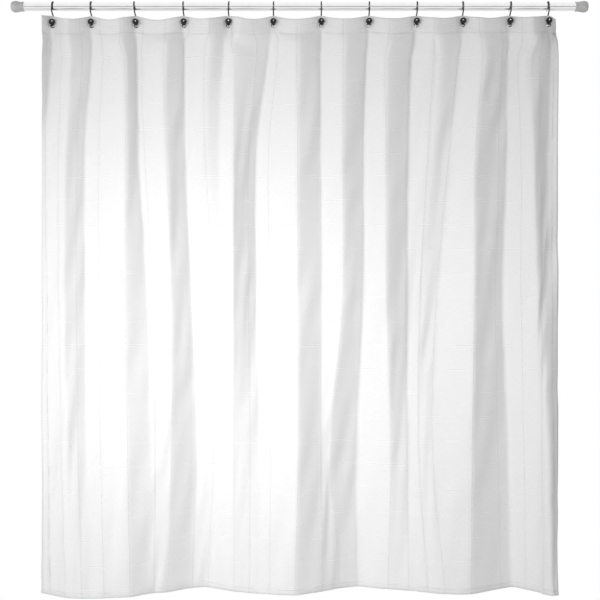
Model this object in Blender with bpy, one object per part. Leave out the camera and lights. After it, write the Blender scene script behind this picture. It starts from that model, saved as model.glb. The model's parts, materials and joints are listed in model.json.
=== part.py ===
"""Shower curtain: a sewn cloth panel on twelve ball-ended S-hooks, on a spring-loaded rod.

Units are metres and +Z is up. The origin is on the rod's axis, in the plane where the left foot
meets the wall. +X runs along the rod, -Y is the side that faces the room, +Y is the bath side.
"""

import math

import bmesh
import bpy
import numpy as np
from mathutils import Vector

# Rod -------------------------------------------------------------------------------------------
ROD_LENGTH = 1.8290  # wall face to wall face
GAP = 0.0003  # clearance between pieces that touch
SMOOTH_ANGLE = math.radians(40)  # edges sharper than this stay sharp

TUBE_RADIUS = 0.0127
TUBE_BORE = 0.0118
INNER_TUBE_RADIUS = 0.0095
INNER_TUBE_BORE = 0.0085
INNER_TUBE_START = 1.2500
ROD_SEGMENTS = 20

FOOT_LENGTH = 0.0394
FOOT_SHOULDER = 0.0194  # floor of the wide socket, from the wall face
FOOT_FLOOR = 0.0074  # floor of the narrow socket
FOOT_SOCKET = TUBE_RADIUS + GAP
FOOT_NARROW_SOCKET = INNER_TUBE_RADIUS + GAP
FOOT_OUTLINE = (
    (0.0000, 0.0130),
    (0.0015, 0.0141),
    (0.0060, 0.0170),
    (0.0130, 0.0183),
    (0.0200, 0.0172),
    (0.0270, 0.0153),
    (0.0360, 0.0150),
    (FOOT_LENGTH, 0.0152),
)
TUBE_LAP = 0.0020  # how far the right foot's mouth laps over the outer tube

FLANGE_RADIUS = TUBE_RADIUS
FLANGE_THICKNESS = 0.0015
PLUG_RADIUS = TUBE_BORE - GAP
PLUG_DEPTH = 0.0160
BUSH_LENGTH = 0.0280

SPRING_RADIUS = 0.0093
SPRING_WIRE = 0.0009
SPRING_TURNS = 9
SPRING_SEGMENTS = 8
SPRING_SIDES = 5
SPRING_LENGTH = 0.1150
SEAT_RADIUS = 0.0065
SEAT_LENGTH = 0.0100
STOP_LENGTH = 0.0200
FOLLOWER_RADIUS = 0.0113
FOLLOWER_FLANGE = 0.0037
FOLLOWER_SPIGOT = 0.0200

# Hooks, seen from the end of the rod with the rod's axis at (0, 0) ------------------------------
HOOK_X = (
    0.1295,
    0.2534,
    0.3956,
    0.5477,
    0.6887,
    0.8312,
    0.9833,
    1.1341,
    1.2846,
    1.4316,
    1.5799,
    1.7037,
)
LEAN_FIRST = math.radians(4.0)  # the first hook hangs a little towards the bath
LEAN_LAST = math.radians(-7.0)  # and the last one towards the room

WIRE_RADIUS = 0.0018
WIRE_SIDES = 6
CURL_RADIUS = 0.0190
CURL_CENTRE_Z = TUBE_RADIUS + GAP + WIRE_RADIUS - CURL_RADIUS
CURL_START, CURL_END = math.radians(-8), math.radians(243)
CURL_STEPS = 16
CROSSING_LENGTH = 0.0106  # straight run that takes the wire over the cloth's top edge
NECK_RADIUS = 0.0060
NECK_STEPS = 3
STEM_END_Z = -0.0534
LOOP_RADIUS = 0.0078
LOOP_END = math.radians(165)
LOOP_STEPS = 8
BORE_FROM, BORE_TO = math.radians(105), math.radians(178)
BORE_STEPS = 5
BORE_CLEARANCE = 0.00025

BALL_RADIUS = 0.0093
BALL_CENTRE = (-0.0115, -0.0494)
BALL_SEGMENTS, BALL_RINGS = 12, 8

EYELET_Z = -0.0601
EYELET_HOLE = 0.0036
EYELET_BARREL = 0.0041
EYELET_FLANGE = 0.0068
EYELET_LIP = 0.0007
EYELET_SEGMENTS = 14

# Cloth -----------------------------------------------------------------------------------------
CLOTH_LEFT, CLOTH_RIGHT = 0.0965, 1.7348
CLOTH_TOP_Z = -0.0290  # at each hook
CLOTH_HEM_Z = -1.8560
CLOTH_THICKNESS = 0.0008
CLOTH_HOLE = EYELET_BARREL + GAP
PUNCH_REACH = 0.0200  # how far the cutter for a hole reaches each side of the cloth
TOP_SAG = 0.0120  # the top edge drops this far between hooks
BOW_DEPTH = 0.0280  # and swings this far towards the room
FLAT_HALF_WIDTH = 0.0080  # flat cloth each side of an eyelet
LEAN_REACH = 0.0850  # below this the cloth hangs straight down
ROW_HEIGHTS = (-0.350, -0.800, -1.300)
COLUMNS_BESIDE_HOOK = 4
HEM_FOLDS = (  # along the rod, and towards the bath
    (0.0965, -0.028),
    (0.2250, -0.072),
    (0.6250, 0.052),
    (0.8900, -0.052),
    (1.1050, 0.072),
    (1.4200, -0.030),
    (1.5850, 0.062),
    (1.7150, -0.060),
    (1.7348, -0.030),
)


# Helpers ---------------------------------------------------------------------------------------
def clear_scene():
    for thing in list(bpy.data.objects):
        bpy.data.objects.remove(thing, do_unlink=True)


def make_material(name, colour, roughness, metallic=0.0):
    material = bpy.data.materials.new(name)
    material.use_nodes = True
    shader = material.node_tree.nodes["Principled BSDF"]
    shader.inputs["Base Color"].default_value = (*colour, 1.0)
    shader.inputs["Roughness"].default_value = roughness
    shader.inputs["Metallic"].default_value = metallic
    return material


def finish_mesh(name, shape):
    """Turns a bmesh into mesh data with outward faces and smooth round sides."""
    bmesh.ops.recalc_face_normals(shape, faces=shape.faces)
    mesh = bpy.data.meshes.new(name)
    shape.to_mesh(mesh)
    shape.free()
    mesh.shade_smooth()
    mesh.set_sharp_from_angle(angle=SMOOTH_ANGLE)
    return mesh


def add_object(name, mesh, material, location=(0, 0, 0), rotation=(0, 0, 0)):
    """Links an object; copies of one mesh carry the material on the mesh."""
    thing = bpy.data.objects.new(name, mesh)
    thing.location = location
    thing.rotation_euler = rotation
    bpy.context.collection.objects.link(thing)
    if not mesh.materials:
        mesh.materials.append(material)
    return thing


def turned_mesh(name, profile, segments, closed=False):
    """A solid of revolution about X. The profile is (x, radius) points.

    An open profile starts and ends on the axis; a closed one goes round the wall of a ring.
    """
    shape = bmesh.new()
    rings = []
    for x, radius in profile:
        if radius == 0:
            rings.append([shape.verts.new((x, 0, 0))])
            continue
        turns = [2 * math.pi * k / segments for k in range(segments)]
        rings.append(
            [shape.verts.new((x, radius * math.cos(a), radius * math.sin(a))) for a in turns]
        )
    following = rings[1:] + (rings[:1] if closed else [])
    for here, there in zip(rings, following):
        for k in range(segments):
            step = k + 1
            corners = (
                here[k % len(here)],
                there[k % len(there)],
                there[step % len(there)],
                here[step % len(here)],
            )
            shape.faces.new(list(dict.fromkeys(corners)))
    return finish_mesh(name, shape)


def swept_mesh(name, path, radius, sides):
    """A round bar along a path, with flat ends; each ring is carried on from the one before."""
    shape = bmesh.new()
    points = [Vector(p) for p in path]
    tangents = [
        (points[min(i + 1, len(points) - 1)] - points[max(i - 1, 0)]).normalized()
        for i in range(len(points))
    ]
    side = tangents[0].orthogonal().normalized()
    rings = []
    for i, (point, tangent) in enumerate(zip(points, tangents)):
        if i:
            side = tangents[i - 1].rotation_difference(tangent) @ side
        other = tangent.cross(side)
        turns = [2 * math.pi * k / sides for k in range(sides)]
        rings.append(
            [
                shape.verts.new(point + radius * (math.cos(a) * side + math.sin(a) * other))
                for a in turns
            ]
        )
    for here, there in zip(rings, rings[1:]):
        for k in range(sides):
            step = (k + 1) % sides
            shape.faces.new((here[k], there[k], there[step], here[step]))
    shape.faces.new(rings[0])
    shape.faces.new(rings[-1])
    return finish_mesh(name, shape)


def cut_away(mesh, cutter_mesh, name):
    """Takes the cutter out of the mesh with a Boolean and returns the new mesh."""
    body = bpy.data.objects.new(name + "_blank", mesh)
    cutter = bpy.data.objects.new(name + "_cutter", cutter_mesh)
    for thing in (body, cutter):
        bpy.context.collection.objects.link(thing)
    boolean = body.modifiers.new("hole", "BOOLEAN")
    boolean.operation = "DIFFERENCE"
    boolean.solver = "EXACT"
    boolean.object = cutter
    bpy.context.view_layer.update()
    depsgraph = bpy.context.evaluated_depsgraph_get()
    result = bpy.data.meshes.new_from_object(body.evaluated_get(depsgraph))
    result.name = name
    for thing in (body, cutter):
        bpy.data.objects.remove(thing, do_unlink=True)
    return result


def arc_points(centre, radius, start, end, steps):
    """Points on an arc in the hook's plane, as (0, y, z)."""
    angles = np.linspace(start, end, steps + 1)
    return [
        (0.0, centre[0] + radius * math.cos(a), centre[1] + radius * math.sin(a)) for a in angles
    ]


# Rod -------------------------------------------------------------------------------------------
def foot_mesh():
    """A soft cap: bulbous where it grips the wall, with a wide and a narrow socket."""
    sockets = (
        (FOOT_LENGTH, FOOT_SOCKET),
        (FOOT_SHOULDER, FOOT_SOCKET),
        (FOOT_SHOULDER, FOOT_NARROW_SOCKET),
        (FOOT_FLOOR, FOOT_NARROW_SOCKET),
    )
    profile = ((0.0, 0.0), *FOOT_OUTLINE, *sockets, (FOOT_FLOOR, 0.0))
    return turned_mesh("wall_foot", profile, ROD_SEGMENTS)


def tube_mesh(name, start, end, radius, bore):
    wall = ((start, radius), (end, radius), (end, bore), (start, bore))
    return turned_mesh(name, wall, ROD_SEGMENTS, closed=True)


def stepped_mesh(name, start, steps):
    """A solid turned piece: steps are (length, radius), one after another from start."""
    profile = [(start, 0.0)]
    x = start
    for length, radius in steps:
        profile.append((x, radius))
        x += length
        profile.append((x, radius))
    profile.append((x, 0.0))
    return turned_mesh(name, profile, ROD_SEGMENTS)


def build_rod():
    steel = make_material("polished_steel", (0.80, 0.81, 0.82), 0.12, 1.0)
    spring_steel = make_material("spring_steel", (0.45, 0.46, 0.48), 0.35, 1.0)
    rubber = make_material("grey_rubber", (0.38, 0.39, 0.40), 0.45)
    plastic = make_material("white_nylon", (0.85, 0.85, 0.83), 0.40)

    foot = foot_mesh()
    add_object("wall_foot_left", foot, rubber)
    add_object("wall_foot_right", foot, rubber, (ROD_LENGTH, 0, 0), (0, 0, math.pi))

    flange_start = FOOT_SHOULDER + GAP
    spigot_start = FOOT_FLOOR + GAP
    plug_steps = (
        (flange_start - spigot_start, INNER_TUBE_RADIUS),
        (FLANGE_THICKNESS, FLANGE_RADIUS),
        (PLUG_DEPTH, PLUG_RADIUS),
    )
    plug = stepped_mesh("end_plug_left", spigot_start, plug_steps)
    add_object("end_plug_left", plug, plastic)

    tube_start = flange_start + FLANGE_THICKNESS + GAP
    tube_end = ROD_LENGTH - FOOT_LENGTH + TUBE_LAP
    tube = tube_mesh("outer_tube", tube_start, tube_end, TUBE_RADIUS, TUBE_BORE)
    add_object("outer_tube", tube, steel)

    inner_end = ROD_LENGTH - FOOT_FLOOR - GAP
    inner = tube_mesh(
        "inner_tube", INNER_TUBE_START, inner_end, INNER_TUBE_RADIUS, INNER_TUBE_BORE
    )
    add_object("inner_tube", inner, steel)

    bush_bore = INNER_TUBE_RADIUS + GAP
    flange_at = tube_end + GAP
    bush_wall = (
        (tube_end - BUSH_LENGTH, PLUG_RADIUS),
        (flange_at, PLUG_RADIUS),
        (flange_at, FLANGE_RADIUS),
        (flange_at + FLANGE_THICKNESS, FLANGE_RADIUS),
        (flange_at + FLANGE_THICKNESS, bush_bore),
        (tube_end - BUSH_LENGTH, bush_bore),
    )
    bush = turned_mesh("guide_bush", bush_wall, ROD_SEGMENTS, closed=True)
    add_object("guide_bush", bush, plastic)

    follower_flange = INNER_TUBE_START - GAP - FOLLOWER_FLANGE
    follower_steps = (
        (SEAT_LENGTH, SEAT_RADIUS),
        (FOLLOWER_FLANGE, FOLLOWER_RADIUS),
        (FOLLOWER_SPIGOT, INNER_TUBE_BORE - GAP),
    )
    follower = stepped_mesh("spring_follower", follower_flange - SEAT_LENGTH, follower_steps)
    add_object("spring_follower", follower, plastic)

    spring_end = follower_flange - GAP
    spring_start = spring_end - SPRING_LENGTH
    stop_end = spring_start - GAP
    stop_steps = ((STOP_LENGTH, PLUG_RADIUS), (SEAT_LENGTH, SEAT_RADIUS))
    stop = stepped_mesh("spring_stop", stop_end - STOP_LENGTH, stop_steps)
    add_object("spring_stop", stop, plastic)

    count = SPRING_TURNS * SPRING_SEGMENTS
    travel = SPRING_LENGTH - 2 * SPRING_WIRE
    coil = []
    for k in range(count + 1):
        turn = 2 * math.pi * k / SPRING_SEGMENTS
        x = spring_start + SPRING_WIRE + travel * k / count
        coil.append((x, SPRING_RADIUS * math.cos(turn), SPRING_RADIUS * math.sin(turn)))
    spring = swept_mesh("tension_spring", coil, SPRING_WIRE, SPRING_SIDES)
    add_object("tension_spring", spring, spring_steel)


# Hooks -----------------------------------------------------------------------------------------
def hook_path():
    """The bent wire: curl round the rod, neck over the cloth, stem behind it, loop to the ball."""
    path = arc_points((0.0, CURL_CENTRE_Z), CURL_RADIUS, CURL_START, CURL_END, CURL_STEPS)
    heading = CURL_END - 1.5 * math.pi  # below level, where the curl lets go
    y = path[-1][1] + CROSSING_LENGTH * math.cos(heading)
    z = path[-1][2] + CROSSING_LENGTH * math.sin(heading)
    neck_centre = (y + NECK_RADIUS * math.sin(heading), z - NECK_RADIUS * math.cos(heading))
    path += arc_points(neck_centre, NECK_RADIUS, heading + math.pi / 2, 0.0, NECK_STEPS)
    stem_y = path[-1][1]
    loop_centre = (stem_y - LOOP_RADIUS, STEM_END_Z)
    path += arc_points(loop_centre, LOOP_RADIUS, 0.0, -LOOP_END, LOOP_STEPS)
    bore = arc_points(loop_centre, LOOP_RADIUS, -BORE_FROM, -BORE_TO, BORE_STEPS)
    return path, bore


def ball_mesh(bore):
    """The ball, with the blind bore that the wire is brazed into."""
    shape = bmesh.new()
    bmesh.ops.create_uvsphere(
        shape, u_segments=BALL_SEGMENTS, v_segments=BALL_RINGS, radius=BALL_RADIUS
    )
    bmesh.ops.translate(shape, vec=(0, *BALL_CENTRE), verts=shape.verts)
    blank = finish_mesh("hook_ball_blank", shape)
    cutter = swept_mesh("ball_bore", bore, WIRE_RADIUS + BORE_CLEARANCE, WIRE_SIDES)
    return cut_away(blank, cutter, "hook_ball")


def eyelet_mesh():
    """A set eyelet: a barrel through the cloth with a flange clinched on each face."""
    face = CLOTH_THICKNESS / 2 + GAP
    outer = face + EYELET_LIP
    edge = EYELET_FLANGE - EYELET_LIP / 2
    wall = (
        (-face, EYELET_BARREL),
        (-face, EYELET_FLANGE),
        (-outer, edge),
        (-outer, EYELET_HOLE),
        (outer, EYELET_HOLE),
        (outer, edge),
        (face, EYELET_FLANGE),
        (face, EYELET_BARREL),
    )
    mesh = turned_mesh("eyelet", wall, EYELET_SEGMENTS, closed=True)
    for vertex in mesh.vertices:
        x, y, z = vertex.co
        vertex.co = (-y, x, z + EYELET_Z)
    return mesh


def lean_at(x):
    """How far a hook at x leans, and the cloth that hangs from it."""
    share = (x - HOOK_X[0]) / (HOOK_X[-1] - HOOK_X[0])
    return LEAN_FIRST + (LEAN_LAST - LEAN_FIRST) * share


def build_hooks():
    nickel = make_material("black_nickel", (0.32, 0.31, 0.31), 0.15, 1.0)
    bright = make_material("eyelet_nickel", (0.60, 0.60, 0.61), 0.25, 1.0)
    path, bore = hook_path()
    pieces = (
        ("hook_wire", swept_mesh("hook_wire", path, WIRE_RADIUS, WIRE_SIDES), nickel),
        ("hook_ball", ball_mesh(bore), nickel),
        ("eyelet", eyelet_mesh(), bright),
    )
    for number, x in enumerate(HOOK_X, 1):
        for kind, mesh, material in pieces:
            add_object(f"{kind}_{number:02d}", mesh, material, (x, 0, 0), (lean_at(x), 0, 0))


# Cloth -----------------------------------------------------------------------------------------
def bay_share(x):
    """How far x is across its bay between two hooks: 0 at a hook, 1 at the next one."""
    for left, right in zip(HOOK_X, HOOK_X[1:]):
        if left <= x <= right:
            return (x - left) / (right - left)
    return 0.0


def smooth(share):
    share = min(1.0, max(0.0, share))
    return share * share * (3 - 2 * share)


def hem_depth(x):
    """Where the hem hangs, towards the bath."""
    for (x0, y0), (x1, y1) in zip(HEM_FOLDS, HEM_FOLDS[1:]):
        if x0 <= x <= x1:
            return y0 + (y1 - y0) * smooth((x - x0) / (x1 - x0))
    return HEM_FOLDS[-1][1]


def cloth_point(x, z):
    """The middle of the cloth: bowed between the hooks above, in wide folds at the hem."""
    wave = math.sin(math.pi * bay_share(x))
    header = min(-z, LEAN_REACH) * math.tan(lean_at(x)) - BOW_DEPTH * wave**4
    fall = smooth((-z - LEAN_REACH) / (-CLOTH_HEM_Z - LEAN_REACH))
    return header + (hem_depth(x) - header) * fall


def strip_columns(index, x):
    """Where the strip's upright rows of points stand, left to right."""
    left = CLOTH_LEFT if index == 0 else (HOOK_X[index - 1] + x + GAP) / 2
    last = index == len(HOOK_X) - 1
    right = CLOTH_RIGHT if last else (HOOK_X[index + 1] + x - GAP) / 2
    before = np.linspace(left, x - FLAT_HALF_WIDTH, COLUMNS_BESIDE_HOOK)
    after = np.linspace(x + FLAT_HALF_WIDTH, right, COLUMNS_BESIDE_HOOK)
    return [*before, *after]


def grid_border(grid):
    """The points round the edge of a grid of columns, in order."""
    top, bottom = [column[0] for column in grid], [column[-1] for column in grid]
    return top + grid[-1][1:-1] + bottom[::-1] + grid[0][-2:0:-1]


def strip_mesh(name, index, x):
    """One hook's share of the cloth, as a thin closed sheet with the eyelet's hole in it."""
    shape = bmesh.new()
    half = CLOTH_THICKNESS / 2
    layers = []
    for side in (-half, half):
        grid = []
        for column in strip_columns(index, x):
            top = CLOTH_TOP_Z - TOP_SAG * math.sin(math.pi * bay_share(column)) ** 2
            heights = (top, -LEAN_REACH, *ROW_HEIGHTS, CLOTH_HEM_Z)
            grid.append(
                [shape.verts.new((column, cloth_point(column, z) + side, z)) for z in heights]
            )
        layers.append(grid)
    front, back = layers
    for grid in layers:
        for here, there in zip(grid, grid[1:]):
            for k in range(len(here) - 1):
                shape.faces.new((here[k], there[k], there[k + 1], here[k + 1]))
    edge, twin = grid_border(front), grid_border(back)
    for k in range(len(edge)):
        step = (k + 1) % len(edge)
        shape.faces.new((edge[k], edge[step], twin[step], twin[k]))
    sheet = finish_mesh(name + "_blank", shape)

    reach = PUNCH_REACH
    wall = ((-reach, 0.0), (-reach, CLOTH_HOLE), (reach, CLOTH_HOLE), (reach, 0.0))
    punch = turned_mesh(name + "_punch", wall, EYELET_SEGMENTS)
    lean = lean_at(x)
    for vertex in punch.vertices:
        along, across, up = vertex.co
        turned_y = along * math.cos(lean) - (up + EYELET_Z) * math.sin(lean)
        turned_z = along * math.sin(lean) + (up + EYELET_Z) * math.cos(lean)
        vertex.co = (x - across, turned_y, turned_z)
    return cut_away(sheet, punch, name)


def build_cloth():
    cotton = make_material("white_cotton", (0.86, 0.86, 0.85), 0.85)
    for index, x in enumerate(HOOK_X):
        name = f"cloth_{index + 1:02d}"
        add_object(name, strip_mesh(name, index, x), cotton)


def main():
    clear_scene()
    build_rod()
    build_hooks()
    build_cloth()


main()
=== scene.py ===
"""Shower curtain: the finish and fine shape of the panel, its hooks and the tension rod.

Everything is in metres, in the part's own frame: the rod lies along X through the origin, Z is up
and -Y is the side that faces the room.
"""

import json
import logging
import math
from dataclasses import dataclass, field
from enum import Enum

import bmesh
import bpy
import numpy as np
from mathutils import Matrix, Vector

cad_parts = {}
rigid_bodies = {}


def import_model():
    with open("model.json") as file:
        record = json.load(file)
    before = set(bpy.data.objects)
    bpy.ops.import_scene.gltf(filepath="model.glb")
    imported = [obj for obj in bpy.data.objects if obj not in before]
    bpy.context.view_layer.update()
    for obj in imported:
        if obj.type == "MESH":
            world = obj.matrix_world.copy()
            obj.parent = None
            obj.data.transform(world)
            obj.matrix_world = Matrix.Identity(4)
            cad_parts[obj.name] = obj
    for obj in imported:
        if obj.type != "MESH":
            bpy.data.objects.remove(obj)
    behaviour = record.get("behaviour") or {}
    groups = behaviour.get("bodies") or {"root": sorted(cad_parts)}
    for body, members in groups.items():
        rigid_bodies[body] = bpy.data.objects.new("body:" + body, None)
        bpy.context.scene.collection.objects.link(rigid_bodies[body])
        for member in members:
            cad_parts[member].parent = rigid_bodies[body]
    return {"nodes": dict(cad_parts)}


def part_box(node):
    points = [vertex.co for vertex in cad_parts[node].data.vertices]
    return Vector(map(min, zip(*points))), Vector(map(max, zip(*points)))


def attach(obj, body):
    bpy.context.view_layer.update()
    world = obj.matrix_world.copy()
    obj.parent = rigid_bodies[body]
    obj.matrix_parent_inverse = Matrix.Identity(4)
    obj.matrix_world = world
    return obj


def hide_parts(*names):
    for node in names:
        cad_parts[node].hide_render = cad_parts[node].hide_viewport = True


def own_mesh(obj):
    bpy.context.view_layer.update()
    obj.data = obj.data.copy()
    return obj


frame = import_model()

LOG = logging.getLogger("shower_curtain")
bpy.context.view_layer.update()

# Where the hooks hang along the rod.
HOOKS = (0.1295, 0.2534, 0.3956, 0.5477, 0.6887, 0.8312, 0.9833, 1.1341, 1.2846, 1.4316, 1.5799, 1.7037)
HOOK_BODIES = tuple(f"hook_{number:02d}" for number in range(1, len(HOOKS) + 1))
# How far the first and the last hook tip towards the room.
FIRST_LEAN, LAST_LEAN = math.radians(4.0), math.radians(-7.0)
# One cell of the windowpane weave.
CELL = 0.0762


def lean_at(x: np.ndarray | float) -> np.ndarray | float:
    """How far the hook at x tips, in radians, and the header with it."""
    return FIRST_LEAN + (LAST_LEAN - FIRST_LEAN) * (x - HOOKS[0]) / (HOOKS[-1] - HOOKS[0])


def ease(share: np.ndarray | float) -> np.ndarray:
    """A smooth step from 0 to 1."""
    share = np.clip(share, 0.0, 1.0)
    return share * share * (3 - 2 * share)


# Finishes ---------------------------------------------------------------------------------------
class Graph:
    """A material's node tree, with short ways to add and join nodes."""

    def __init__(self, name: str) -> None:
        """Starts an empty material of that name.

        Args:
            name: The material's name.
        """
        self.material = bpy.data.materials.new(name)
        self.material.use_nodes = True
        self.nodes = self.material.node_tree.nodes
        self.links = self.material.node_tree.links
        self.shader = self.nodes["Principled BSDF"]

    def feed(self, socket: bpy.types.NodeSocket, value: object) -> None:
        """Links a socket to an output, or sets it to a number or a colour."""
        if isinstance(value, bpy.types.NodeSocket):
            self.links.new(value, socket)
        else:
            socket.default_value = value

    def math(self, operation: str, *values: object) -> bpy.types.NodeSocket:
        """Adds a Math node.

        Args:
            operation: Blender's name for the operation.
            values: Its inputs, as outputs or numbers.

        Returns:
            The node's output.
        """
        node = self.nodes.new("ShaderNodeMath")
        node.operation = operation
        for socket, value in zip(node.inputs, values):
            self.feed(socket, value)
        return node.outputs[0]

    def ramp(
        self, value: object, low: float, high: float, to: tuple[float, float] = (0.0, 1.0)
    ) -> bpy.types.NodeSocket:
        """Maps a value smoothly from a range onto another one.

        Args:
            value: The value.
            low: The start of its range.
            high: The end of its range.
            to: What the start and the end become.

        Returns:
            The mapped value.
        """
        node = self.nodes.new("ShaderNodeMapRange")
        node.interpolation_type = "SMOOTHSTEP"
        for socket, given in zip(node.inputs, (value, low, high, *to)):
            self.feed(socket, given)
        return node.outputs[0]

    def noise(
        self, place: object, scale: float, detail: float = 3.0, roughness: float = 0.5
    ) -> bpy.types.NodeSocket:
        """Adds a noise texture.

        Args:
            place: Where it is read.
            scale: How fine it is.
            detail: How many finer layers it has.
            roughness: How strong the finer layers are.

        Returns:
            Its factor.
        """
        node = self.nodes.new("ShaderNodeTexNoise")
        self.feed(node.inputs["Vector"], place)
        node.inputs["Scale"].default_value = scale
        node.inputs["Detail"].default_value = detail
        node.inputs["Roughness"].default_value = roughness
        return node.outputs["Fac"]

    def stretched(self, place: object, scale: tuple[float, float, float]) -> bpy.types.NodeSocket:
        """Scales a place differently along each axis, so that a texture runs long one way."""
        node = self.nodes.new("ShaderNodeMapping")
        self.feed(node.inputs["Vector"], place)
        node.inputs["Scale"].default_value = scale
        return node.outputs[0]

    def place(self) -> bpy.types.NodeSocket:
        """The piece's own coordinates, in metres."""
        return self.nodes.new("ShaderNodeTexCoord").outputs["Object"]

    def blend(self, share: object, first: object, second: object) -> bpy.types.NodeSocket:
        """Mixes two colours.

        Args:
            share: How much of the second one there is.
            first: The first colour.
            second: The second colour.

        Returns:
            The mixed colour.
        """
        node = self.nodes.new("ShaderNodeMix")
        node.data_type = "RGBA"
        self.feed(node.inputs[0], share)
        colour_sockets = node.inputs[6], node.inputs[7]
        for socket, colour in zip(colour_sockets, (first, second)):
            self.feed(socket, colour if isinstance(colour, bpy.types.NodeSocket) else (*colour, 1.0))
        return node.outputs[2]

    def relief(self, height: object, depth: float, below: object = None) -> bpy.types.NodeSocket:
        """Adds a bump of a real depth in metres, over another bump if one is given."""
        node = self.nodes.new("ShaderNodeBump")
        node.inputs["Strength"].default_value = 1.0
        node.inputs["Distance"].default_value = depth
        self.feed(node.inputs["Height"], height)
        if below is not None:
            self.feed(node.inputs["Normal"], below)
        return node.outputs[0]


@dataclass(frozen=True)
class Metal:
    """A plated or drawn metal, with faint handling marks in its gloss."""

    name: str
    colour: tuple[float, float, float]
    shade: tuple[float, float, float]
    roughness: tuple[float, float]
    grain: tuple[float, float, float] = (60.0, 60.0, 60.0)
    ripple: float = 0.00001

    def make(self) -> bpy.types.Material:
        """Builds the material."""
        g = Graph(self.name)
        where = g.place()
        tone = g.noise(where, 35.0, 4.0)
        marks = g.noise(g.stretched(where, self.grain), 12.0, 5.0, 0.6)
        g.shader.inputs["Metallic"].default_value = 1.0
        g.feed(g.shader.inputs["Base Color"], g.blend(g.ramp(tone, 0.35, 0.7), self.colour, self.shade))
        g.feed(g.shader.inputs["Roughness"], g.ramp(marks, 0.3, 0.7, self.roughness))
        g.feed(g.shader.inputs["Normal"], g.relief(marks, self.ripple))
        return g.material


@dataclass(frozen=True)
class Moulding:
    """A moulded plastic or rubber: a soft skin with a fine mottle."""

    name: str
    colour: tuple[float, float, float]
    shade: tuple[float, float, float]
    roughness: tuple[float, float]
    depth: float
    glow: float = 0.0

    def make(self) -> bpy.types.Material:
        """Builds the material."""
        g = Graph(self.name)
        where = g.place()
        cloud = g.noise(where, 70.0, 3.0)
        skin = g.noise(where, 900.0, 2.0)
        g.feed(g.shader.inputs["Base Color"], g.blend(g.ramp(cloud, 0.3, 0.7), self.colour, self.shade))
        g.feed(g.shader.inputs["Roughness"], g.ramp(skin, 0.3, 0.7, self.roughness))
        g.feed(g.shader.inputs["Normal"], g.relief(skin, self.depth))
        g.shader.inputs["Subsurface Weight"].default_value = self.glow
        g.shader.inputs["Subsurface Scale"].default_value = 0.004
        return g.material


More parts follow.
